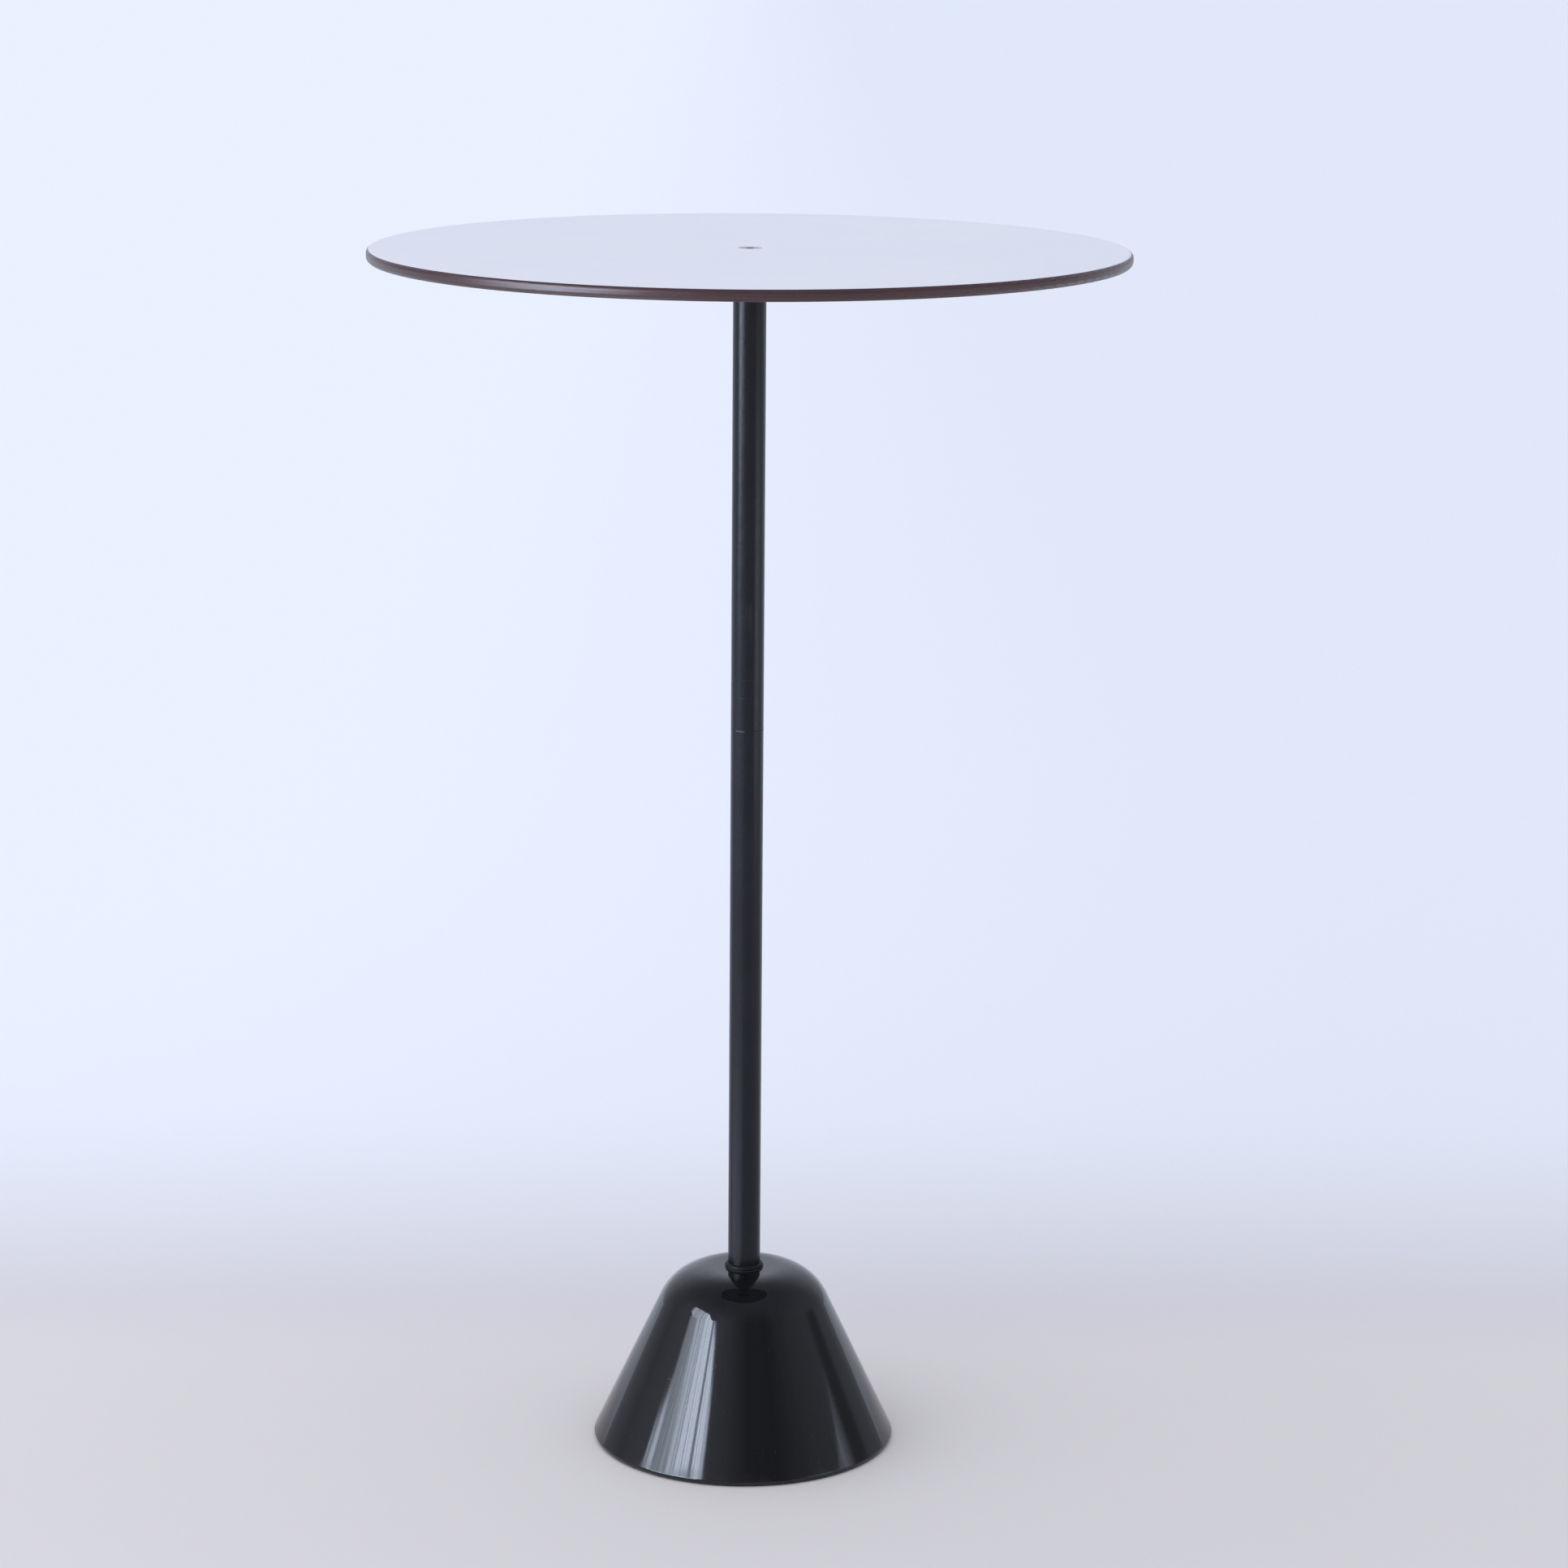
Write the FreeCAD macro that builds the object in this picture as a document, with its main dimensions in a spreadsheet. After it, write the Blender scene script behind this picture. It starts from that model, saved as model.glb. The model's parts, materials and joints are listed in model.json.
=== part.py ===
import FreeCAD, Part
import os
from enum import IntEnum

import Sketcher

# Tall round drinks table: a thin top on a two-piece pole that is bolted into a weighted bell-shaped base.
# Lengths are in millimetres. The origin is on the floor under the middle of the base, and +Z is up.

# Driving dimensions: name, value, meaning
SIZES = [
    ("table_height", 820, "floor to the upper face of the top"),
    ("top_diameter", 500, "round top"),
    ("top_thickness", 8, "whole board with both of its sheets"),
    ("sheet_thickness", 0.4, "sheet on each face of the board"),
    ("rim_rounding", 3, "radius of both edges of the board"),
    ("screw_diameter", 8, "thread of the countersunk top screw"),
    ("screw_length", 40, "top screw with its head"),
    ("screw_head_diameter", 16, "countersunk head"),
    ("screw_head_sink", 0.2, "head below the upper face of the top"),
    ("screw_socket_width", 5, "hexagon socket across flats"),
    ("screw_socket_depth", 3, "hexagon socket"),
    ("screw_hole_clearance", 0.25, "round the top screw in the board, pad and flange"),
    ("pad_thickness", 1.5, "rubber disc between flange and top"),
    ("flange_diameter", 120, "steel disc under the top"),
    ("flange_thickness", 4, "steel disc under the top"),
    ("flange_rounding", 1, "lower edge of the disc"),
    ("hub_wall", 5, "socket for the pole under the disc"),
    ("hub_height", 12, "socket for the pole under the disc"),
    ("hub_fillet", 3, "between hub and disc"),
    ("pole_diameter", 22, "both tubes of the pole"),
    ("pole_wall", 2, "both tubes of the pole"),
    ("pole_end_chamfer", 0.2, "outer edge of each tube end"),
    ("pole_fit_clearance", 0.15, "round the pole where it enters hub, shell and ballast"),
    ("seam_height", 499, "floor to the seam between the tubes"),
    ("stud_diameter", 10, "threaded stud at the seam"),
    ("stud_length", 40, "half of it in each tube"),
    ("thread_chamfer", 1, "ends of the stud, bolt and top screw"),
    ("thread_runout", 2, "tapped hole beyond the end of its screw"),
    ("plug_floor", 4, "closed end of each plug"),
    ("plug_chamfer", 1, "inner end of each plug"),
    ("base_diameter", 208.6, "bell at its foot, before its edge is rounded"),
    ("base_top_diameter", 94.8, "where side and flat top of the bell would meet without their rounding"),
    ("base_height", 121.5, "floor to the flat top of the bell"),
    ("shoulder_radius", 37, "rounding between side and top of the bell"),
    ("shell_wall", 4, "moulded bell"),
    ("shell_edge_rounding", 2.3, "outer edge of the bell's foot"),
    ("rim_drop", 1.3, "bell below the bottom cover"),
    ("rim_lip", 2.5, "bell outside the bottom cover"),
    ("boss_diameter", 9, "screw bosses inside the bell"),
    ("boss_inset", 15, "edge of the bottom cover to the middle of a boss"),
    ("collar_thickness", 2.1, "rubber ring round the foot of the pole"),
    ("collar_height", 3, "rubber ring round the foot of the pole"),
    ("collar_rounding", 2, "upper outer edge of the ring"),
    ("ballast_clearance", 0.5, "between the weight and the side of the bell"),
    ("boss_clearance", 1, "between the weight and the bosses"),
    ("bolt_diameter", 10, "hexagon bolt that holds the pole in the base"),
    ("bolt_length", 60, "below its head"),
    ("bolt_head_width", 17, "across flats"),
    ("bolt_head_height", 6.4, "hexagon head"),
    ("bolt_head_room", 5, "between bolt head and bottom cover"),
    ("bolt_hole_clearance", 0.5, "round the bolt in the weight and the washers"),
    ("clamp_thickness", 28, "part of the weight between washer and pole"),
    ("washer_diameter", 30, "flat washer"),
    ("washer_thickness", 2.5, "flat washer"),
    ("washer_room", 3, "round the flat washer in its pocket"),
    ("spring_washer_width", 4, "section of the split ring"),
    ("spring_washer_thickness", 2.2, "section of the split ring"),
    ("spring_washer_slit", 1.5, "gap in the split ring"),
    ("cover_thickness", 3, "disc that closes the bell"),
    ("cover_clearance", 0.3, "between the disc and the bell"),
    ("cover_screw_count", 3, "screws and bosses"),
    ("cover_screw_diameter", 3.5, "thread of a cover screw"),
    ("cover_screw_head_diameter", 7, "countersunk head of a cover screw"),
    ("cover_screw_length", 16, "cover screw with its head"),
    ("cover_screw_clearance", 0.2, "round a cover screw in the disc"),
    ("recess_width", 1, "arms of the cross recess in a cover screw"),
    ("recess_length", 4, "cross recess from tip to tip"),
    ("recess_depth", 1.2, "cross recess"),
    ("foot_ring_thickness", 2, "soft ring that the table stands on"),
    ("foot_ring_width", 8, "soft ring that the table stands on"),
    ("foot_ring_inset", 1, "edge of the bottom cover to the soft ring"),
]

# Standard hexagon bolt head: its face is a circle of this share of its width, cut at this angle in degrees
HEAD_FACE_SHARE = 0.95
HEAD_CHAMFER_ANGLE = 30

# Edges nearer than this to a wanted radius and height are the wanted ones
SAME_PLACE = 1e-5


class Code(IntEnum):
    """Numbers that a sketch gives to its own origin and to the points of a line or circle."""
    ORIGIN = -1
    START = 1
    END = 2
    MIDDLE = 3


doc = FreeCAD.newDocument("wine_table")
sheet = doc.addObject("Spreadsheet::Sheet", "sizes")
for row, (alias, size, meaning) in enumerate(SIZES, start=1):
    sheet.set(f"A{row}", alias)
    sheet.set(f"B{row}", str(size))
    sheet.setAlias(f"B{row}", alias)
    sheet.set(f"C{row}", meaning)
doc.recompute()

# Derived places, as formulas on the sheet
TOP_RADIUS = "sizes.top_diameter / 2"
TOP_UNDERSIDE = "sizes.table_height - sizes.top_thickness"
FLANGE_TOP = "sizes.table_height - sizes.top_thickness - sizes.pad_thickness"
POLE_TOP = f"{FLANGE_TOP} - sizes.flange_thickness"
POLE_RADIUS = "sizes.pole_diameter / 2"
POLE_BORE = "sizes.pole_diameter / 2 - sizes.pole_wall"
POLE_HOLE = "sizes.pole_diameter / 2 + sizes.pole_fit_clearance"
SCREW_RADIUS = "sizes.screw_diameter / 2"
SCREW_HOLE = "sizes.screw_diameter / 2 + sizes.screw_hole_clearance"
SCREW_HEAD_RADIUS = "sizes.screw_head_diameter / 2"
SCREW_REACH = f"sizes.screw_length + sizes.screw_head_sink - sizes.table_height + {POLE_TOP}"
STUD_RADIUS = "sizes.stud_diameter / 2"

COVER_TOP = "sizes.foot_ring_thickness + sizes.cover_thickness"
SHELL_RIM = "sizes.foot_ring_thickness - sizes.rim_drop"
SHELL_CEILING = "sizes.base_height - sizes.shell_wall"
BOLT_RADIUS = "sizes.bolt_diameter / 2"
BOLT_HOLE = "sizes.bolt_diameter / 2 + sizes.bolt_hole_clearance"
BOLT_BOTTOM = f"{COVER_TOP} + sizes.bolt_head_room"
SPRING_WASHER_SEAT = f"{BOLT_BOTTOM} + sizes.bolt_head_height"
WASHER_SEAT = f"{SPRING_WASHER_SEAT} + sizes.spring_washer_thickness"
POCKET_CEILING = f"{WASHER_SEAT} + sizes.washer_thickness"
POLE_BOTTOM = f"{POCKET_CEILING} + sizes.clamp_thickness"
BOLT_REACH = f"{SPRING_WASHER_SEAT} + sizes.bolt_length - ({POLE_BOTTOM})"

# Run of the bell's side per unit of height, and its length along the slope
SIDE_RUN = f"((sizes.base_diameter - sizes.base_top_diameter) / 2 / (sizes.base_height - ({SHELL_RIM})))"
SIDE_STRETCH = f"sqrt(1 + {SIDE_RUN}^2)"


def side_radius(height, depth="0"):
    """Radius of the bell's side at a height, at a depth below its outer surface."""
    outer = f"sizes.base_diameter / 2 - ({height} - ({SHELL_RIM})) * {SIDE_RUN}"
    return f"{outer} - ({depth}) * {SIDE_STRETCH}"


RIM_BORE = f"{side_radius(COVER_TOP)} - sizes.rim_lip"
COVER_RADIUS = f"{RIM_BORE} - sizes.cover_clearance"
BOSS_RADIUS = "sizes.boss_diameter / 2"
BOSS_PLACE = f"{COVER_RADIUS} - sizes.boss_inset"
# A boss ends in the middle of the wall that its outer side runs into
BOSS_HEIGHT = (
    f"({side_radius(COVER_TOP, 'sizes.shell_wall / 2')} - ({BOSS_PLACE}) - {BOSS_RADIUS}) / {SIDE_RUN}"
)


def number(formula):
    """Value of a formula with the sheet's present sizes."""
    return float(sheet.evalExpression(formula))


def origin_feature(body, role):
    """Plane or axis of a body's own origin."""
    return next(item for item in body.Origin.OriginFeatures if item.Role == role)


def new_body(label):
    body = doc.addObject("PartDesign::Body", label)
    body.Label = label
    return body


def new_sketch(body, role, name, height="0"):
    """Sketch on an origin plane of the body, lifted by a formula."""
    sketch = body.newObject("Sketcher::SketchObject", f"{body.Label}_{name}")
    sketch.AttachmentSupport = (origin_feature(body, role), [""])
    sketch.MapMode = "FlatFace"
    sketch.setExpression("AttachmentOffset.Base.z", height)
    return sketch


def tie_point(sketch, line, point, formulas):
    """Hold one end of a line at a place that follows the sheet."""
    for kind, formula in zip(("DistanceX", "DistanceY"), formulas):
        rule = Sketcher.Constraint(kind, Code.ORIGIN, Code.START, line, point, number(formula))
        index = sketch.addConstraint(rule)
        sketch.setExpression(f"Constraints[{index}]", formula)


def draw_outline(sketch, corners):
    """Closed outline of straight lines, each corner a pair of formulas."""
    points = [FreeCAD.Vector(number(across), number(along), 0) for across, along in corners]
    ahead = points[1:] + points[:1]
    lines = [sketch.addGeometry(Part.LineSegment(*ends)) for ends in zip(points, ahead)]
    for line, following in zip(lines, lines[1:] + lines[:1]):
        sketch.addConstraint(Sketcher.Constraint("Coincident", line, Code.END, following, Code.START))
    for line, corner in zip(lines, corners):
        tie_point(sketch, line, Code.START, corner)


def draw_circle(sketch, across, radius):
    """Circle with its middle on the sketch's horizontal axis."""
    middle = FreeCAD.Vector(number(across), 0, 0)
    circle = sketch.addGeometry(Part.Circle(middle, FreeCAD.Vector(0, 0, 1), number(radius)))
    tie_point(sketch, circle, Code.MIDDLE, (across, "0"))
    index = sketch.addConstraint(Sketcher.Constraint("Radius", circle, number(radius)))
    sketch.setExpression(f"Constraints[{index}]", radius)


def hexagon(width):
    """Corners of a hexagon about the origin, with a given width across flats."""
    turns = range(0, 360, 60)
    return [(f"{width} / sqrt(3) * cos({turn})", f"{width} / sqrt(3) * sin({turn})") for turn in turns]


def turned(body, name, corners, kind="Revolution", axis="0"):
    """Turn an outline in (radius, height), or cut with it, about a vertical axis."""
    sketch = new_sketch(body, "XZ_Plane", f"{name}_outline")
    draw_outline(sketch, corners)
    middle = sketch.addGeometry(
        Part.LineSegment(FreeCAD.Vector(number(axis), 0, 0), FreeCAD.Vector(number(axis), 1, 0)), True
    )
    tie_point(sketch, middle, Code.START, (axis, "0"))
    tie_point(sketch, middle, Code.END, (axis, "1"))
    before = volume(body)
    feature = body.newObject(f"PartDesign::{kind}", f"{body.Label}_{name}")
    feature.Profile = sketch
    feature.ReferenceAxis = (sketch, ["Axis0"])
    feature.Angle = 360
    doc.recompute()
    confirm_change(body, before, kind == "Groove")
    return feature


def extruded(body, name, sketch, length, kind="Pad", upwards=True):
    """Raise a horizontal sketch, or cut with it, up or down by a length."""
    before = volume(body)
    feature = body.newObject(f"PartDesign::{kind}", f"{body.Label}_{name}")
    feature.Profile = sketch
    feature.setExpression("Length", length)
    feature.Reversed = upwards == (kind == "Pocket")
    doc.recompute()
    confirm_change(body, before, kind == "Pocket")
    return feature


def volume(body):
    """Volume of a body, which is nothing before its first feature."""
    return 0 if body.Shape.isNull() else body.Shape.Volume


def confirm_change(body, before, is_cut):
    """A cut has to take something away, and an addition has to add something."""
    gained = volume(body) - before
    if (gained >= 0) if is_cut else (gained <= 0):
        raise RuntimeError(f"{body.Tip.Name} changed {body.Label} by {gained} mm3")


def eased(body, kind, size, rings):
    """Fillet or chamfer the circular edges at the given radii and heights."""
    base = body.Tip
    names = []
    for radius, height in rings:
        for index, edge in enumerate(base.Shape.Edges, start=1):
            curve = edge.Curve
            if curve.TypeId != "Part::GeomCircle":
                continue
            same_radius = abs(curve.Radius - number(radius)) < SAME_PLACE
            same_height = abs(curve.Center.z - number(height)) < SAME_PLACE
            if same_radius and same_height:
                names.append(f"Edge{index}")
    feature = body.newObject(f"PartDesign::{kind}", f"{body.Label}_{kind.lower()}_{len(body.Group)}")
    feature.Base = (base, names)
    feature.setExpression("Radius" if kind == "Fillet" else "Size", size)
    doc.recompute()


def repeated(body, name, features):
    """Repeat features evenly round the body's vertical axis, one for each cover screw."""
    pattern = body.newObject("PartDesign::PolarPattern", f"{body.Label}_{name}")
    pattern.Originals = features
    pattern.Axis = (origin_feature(body, "Z_Axis"), [""])
    pattern.Angle = 360
    pattern.setExpression("Occurrences", "sizes.cover_screw_count")
    body.Tip = pattern
    doc.recompute()


def placed(body, height):
    body.setExpression("Placement.Base.z", height)
    return body


def ring_outline(inner, outer, height):
    """Rectangle section of a plain ring that stands on its own origin plane."""
    return [(inner, "0"), (outer, "0"), (outer, height), (inner, height)]


# Tabletop

def tabletop_layer(label, removed):
    """One layer of the round-edged board: what is left once the given bands are cut away."""
    body = new_body(label)
    thickness = "sizes.top_thickness"
    turned(body, "board", ring_outline("0", TOP_RADIUS, thickness))
    eased(body, "Fillet", "sizes.rim_rounding", [(TOP_RADIUS, "0"), (TOP_RADIUS, thickness)])
    for name, (low, high) in removed.items():
        band = [("0", low), ("sizes.top_diameter", low), ("sizes.top_diameter", high), ("0", high)]
        turned(body, name, band, "Groove")
    mouth = f"{SCREW_HEAD_RADIUS} + sizes.screw_head_sink"
    cone_end = f"{thickness} - ({mouth}) + {SCREW_HOLE}"
    hole = [("0", "0"), (SCREW_HOLE, "0"), (SCREW_HOLE, cone_end), (mouth, thickness), ("0", thickness)]
    turned(body, "screw_hole", hole, "Groove")
    return placed(body, TOP_UNDERSIDE)


def tabletop_core():
    low_sheet = ("0", "sizes.sheet_thickness")
    high_sheet = ("sizes.top_thickness - sizes.sheet_thickness", "sizes.top_thickness")
    return tabletop_layer("tabletop_core", {"under_backing": low_sheet, "under_face": high_sheet})


def tabletop_face():
    below = ("0", "sizes.top_thickness - sizes.sheet_thickness")
    return tabletop_layer("tabletop_face", {"below_face": below})


def tabletop_backing():
    above = ("sizes.sheet_thickness", "sizes.top_thickness")
    return tabletop_layer("tabletop_backing", {"above_backing": above})


def top_screw():
    """Countersunk screw with a hexagon socket, standing on its tip."""
    body = new_body("top_screw")
    length = "sizes.screw_length"
    cone_start = f"{length} - {SCREW_HEAD_RADIUS} + {SCREW_RADIUS}"
    turned(body, "shank_and_head", [
        ("0", "0"),
        (SCREW_RADIUS, "0"),
        (SCREW_RADIUS, cone_start),
        (SCREW_HEAD_RADIUS, length),
        ("0", length),
    ])
    eased(body, "Chamfer", "sizes.thread_chamfer", [(SCREW_RADIUS, "0")])
    socket = new_sketch(body, "XY_Plane", "socket_outline", length)
    draw_outline(socket, hexagon("sizes.screw_socket_width"))
    extruded(body, "socket", socket, "sizes.screw_socket_depth", "Pocket", upwards=False)
    return placed(body, f"sizes.table_height - sizes.screw_head_sink - {length}")


def flange_pad():
    body = new_body("flange_pad")
    turned(body, "disc", ring_outline(SCREW_HOLE, "sizes.flange_diameter / 2", "sizes.pad_thickness"))
    return placed(body, FLANGE_TOP)


def support_flange():
    """Disc with a hub below it, whose socket takes the end of the pole."""
    body = new_body("support_flange")
    disc_low = "sizes.hub_height"
    disc_high = "sizes.hub_height + sizes.flange_thickness"
    disc_radius = "sizes.flange_diameter / 2"
    hub_radius = f"{POLE_HOLE} + sizes.hub_wall"
    turned(body, "disc_and_hub", [
        (POLE_HOLE, "0"),
        (hub_radius, "0"),
        (hub_radius, disc_low),
        (disc_radius, disc_low),
        (disc_radius, disc_high),
        (SCREW_HOLE, disc_high),
        (SCREW_HOLE, disc_low),
        (POLE_HOLE, disc_low),
    ])
    eased(body, "Fillet", "sizes.hub_fillet", [(hub_radius, disc_low)])
    eased(body, "Fillet", "sizes.flange_rounding", [(disc_radius, disc_low), (hub_radius, "0")])
    return placed(body, f"{POLE_TOP} - sizes.hub_height")


# Pole

def pole_tube(label, low, high):
    body = new_body(label)
    length = f"{high} - ({low})"
    turned(body, "tube", ring_outline(POLE_BORE, POLE_RADIUS, length))
    eased(body, "Chamfer", "sizes.pole_end_chamfer", [(POLE_RADIUS, "0"), (POLE_RADIUS, length)])
    return placed(body, low)


def upper_pole():
    return pole_tube("upper_pole", "sizes.seam_height", POLE_TOP)


def lower_pole():
    return pole_tube("lower_pole", POLE_BOTTOM, "sizes.seam_height")


def tapped_plug(label, thread_radius, reach, mouth, opens_up):
    """Plug in a tube end: a tapped hole deeper than its screw's reach, open at the mouth, closed beyond."""
    body = new_body(label)
    hole_depth = f"{reach} + sizes.thread_runout"
    length = f"{hole_depth} + sizes.plug_floor"
    turned(body, "plug", ring_outline("0", POLE_BORE, length))
    eased(body, "Chamfer", "sizes.plug_chamfer", [(POLE_BORE, "0" if opens_up else length)])
    tapping = new_sketch(body, "XY_Plane", "tapped_circle", length if opens_up else "0")
    draw_circle(tapping, "0", thread_radius)
    extruded(body, "tapped_hole", tapping, hole_depth, "Pocket", upwards=not opens_up)
    return placed(body, f"{mouth} - ({length})" if opens_up else mouth)


def pole_head_plug():
    return tapped_plug("pole_head_plug", SCREW_RADIUS, SCREW_REACH, POLE_TOP, opens_up=True)


def upper_joint_plug():
    half = "sizes.stud_length / 2"
    return tapped_plug("upper_joint_plug", STUD_RADIUS, half, "sizes.seam_height", opens_up=False)


def lower_joint_plug():
    half = "sizes.stud_length / 2"
    return tapped_plug("lower_joint_plug", STUD_RADIUS, half, "sizes.seam_height", opens_up=True)


def pole_foot_plug():
    return tapped_plug("pole_foot_plug", BOLT_RADIUS, BOLT_REACH, POLE_BOTTOM, opens_up=False)


def joint_stud():
    body = new_body("joint_stud")
    turned(body, "rod", ring_outline("0", STUD_RADIUS, "sizes.stud_length"))
    ends = [(STUD_RADIUS, "0"), (STUD_RADIUS, "sizes.stud_length")]
    eased(body, "Chamfer", "sizes.thread_chamfer", ends)
    return placed(body, "sizes.seam_height - sizes.stud_length / 2")


def pole_collar():
    """Rubber ring round the pole, on the flat top of the bell."""
    body = new_body("pole_collar")
    outer = f"{POLE_RADIUS} + sizes.collar_thickness"
    turned(body, "ring", ring_outline(POLE_RADIUS, outer, "sizes.collar_height"))
    eased(body, "Fillet", "sizes.collar_rounding", [(outer, "sizes.collar_height")])
    return placed(body, "sizes.base_height")


# Base

def base_shell():
    """Moulded bell with a ledge for the bottom cover and bosses for its screws."""
    body = new_body("base_shell")
    foot = "sizes.base_diameter / 2"
    top_corner = "sizes.base_top_diameter / 2"
    inner_corner = side_radius(SHELL_CEILING, "sizes.shell_wall")
    turned(body, "bell", [
        (POLE_HOLE, "sizes.base_height"),
        (POLE_HOLE, SHELL_CEILING),
        (inner_corner, SHELL_CEILING),
        (side_radius(COVER_TOP, "sizes.shell_wall"), COVER_TOP),
        (RIM_BORE, COVER_TOP),
        (RIM_BORE, SHELL_RIM),
        (foot, SHELL_RIM),
        (top_corner, "sizes.base_height"),
    ])
    eased(body, "Fillet", "sizes.shoulder_radius", [(top_corner, "sizes.base_height")])
    eased(body, "Fillet", "sizes.shoulder_radius - sizes.shell_wall", [(inner_corner, SHELL_CEILING)])
    eased(body, "Fillet", "sizes.shell_edge_rounding", [(foot, SHELL_RIM)])
    boss_circle = new_sketch(body, "XY_Plane", "boss_circle", COVER_TOP)
    draw_circle(boss_circle, BOSS_PLACE, BOSS_RADIUS)
    boss = extruded(body, "boss", boss_circle, BOSS_HEIGHT)
    repeated(body, "bosses", [boss])
    pilot_circle = new_sketch(body, "XY_Plane", "pilot_circle", COVER_TOP)
    draw_circle(pilot_circle, BOSS_PLACE, "sizes.cover_screw_diameter / 2")
    pilot_depth = "sizes.cover_screw_length - sizes.cover_thickness + sizes.thread_runout"
    pilot = extruded(body, "pilot_hole", pilot_circle, pilot_depth, "Pocket")
    repeated(body, "pilot_holes", [pilot])
    return body


def ballast():
    """Cast weight in the bell, with the pole's socket, the bolt's pocket and room for the bosses."""
    body = new_body("ballast")
    gap = "sizes.shell_wall + sizes.ballast_clearance"
    corner = side_radius(SHELL_CEILING, gap)
    pocket = "sizes.washer_diameter / 2 + sizes.washer_room"
    turned(body, "casting", [
        (pocket, COVER_TOP),
        (side_radius(COVER_TOP, gap), COVER_TOP),
        (corner, SHELL_CEILING),
        (POLE_HOLE, SHELL_CEILING),
        (POLE_HOLE, POLE_BOTTOM),
        (BOLT_HOLE, POLE_BOTTOM),
        (BOLT_HOLE, POCKET_CEILING),
        (pocket, POCKET_CEILING),
    ])
    eased(body, "Fillet", "sizes.shoulder_radius - sizes.shell_wall", [(corner, SHELL_CEILING)])
    notch_circle = new_sketch(body, "XY_Plane", "notch_circle", COVER_TOP)
    draw_circle(notch_circle, BOSS_PLACE, f"{BOSS_RADIUS} + sizes.boss_clearance")
    notch = extruded(body, "notch", notch_circle, f"{BOSS_HEIGHT} + sizes.boss_clearance", "Pocket")
    repeated(body, "notches", [notch])
    return body


def base_bolt():
    """Hexagon bolt, head down."""
    body = new_body("base_bolt")
    width = "sizes.bolt_head_width"
    head_outline = new_sketch(body, "XY_Plane", "head_outline")
    draw_outline(head_outline, hexagon(width))
    extruded(body, "head", head_outline, "sizes.bolt_head_height")
    face = f"{width} / 2 * {HEAD_FACE_SHARE}"
    rise = f"({width} - {face}) * tan({HEAD_CHAMFER_ANGLE})"
    turned(body, "head_chamfer", [(face, "0"), (width, "0"), (width, rise)], "Groove")
    end = "sizes.bolt_head_height + sizes.bolt_length"
    shank_circle = new_sketch(body, "XY_Plane", "shank_circle")
    draw_circle(shank_circle, "0", BOLT_RADIUS)
    extruded(body, "shank", shank_circle, end)
    eased(body, "Chamfer", "sizes.thread_chamfer", [(BOLT_RADIUS, end)])
    return placed(body, BOLT_BOTTOM)


def spring_washer():
    """Split ring, pressed flat."""
    body = new_body("spring_washer")
    outer = f"{BOLT_HOLE} + sizes.spring_washer_width"
    turned(body, "ring", ring_outline(BOLT_HOLE, outer, "sizes.spring_washer_thickness"))
    slit_outline = new_sketch(body, "XY_Plane", "slit_outline")
    half_slit = "sizes.spring_washer_slit / 2"
    slit_end = f"{outer} + sizes.spring_washer_width"
    draw_outline(slit_outline, [
        ("0", f"-{half_slit}"),
        (slit_end, f"-{half_slit}"),
        (slit_end, half_slit),
        ("0", half_slit),
    ])
    extruded(body, "slit", slit_outline, "sizes.spring_washer_thickness", "Pocket")
    return placed(body, SPRING_WASHER_SEAT)


def bolt_washer():
    body = new_body("bolt_washer")
    turned(body, "ring", ring_outline(BOLT_HOLE, "sizes.washer_diameter / 2", "sizes.washer_thickness"))
    return placed(body, WASHER_SEAT)


def bottom_cover():
    """Disc that closes the bell, with a countersunk hole for each cover screw."""
    body = new_body("bottom_cover")
    turned(body, "disc", ring_outline("0", COVER_RADIUS, "sizes.cover_thickness"))
    hole = "sizes.cover_screw_diameter / 2 + sizes.cover_screw_clearance"
    mouth = "sizes.cover_screw_head_diameter / 2"
    countersink = turned(body, "screw_hole", [
        (BOSS_PLACE, "0"),
        (f"{BOSS_PLACE} + {mouth}", "0"),
        (f"{BOSS_PLACE} + {hole}", f"{mouth} - ({hole})"),
        (f"{BOSS_PLACE} + {hole}", "sizes.cover_thickness"),
        (BOSS_PLACE, "sizes.cover_thickness"),
    ], "Groove", axis=BOSS_PLACE)
    repeated(body, "screw_holes", [countersink])
    return placed(body, "sizes.foot_ring_thickness")


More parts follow.
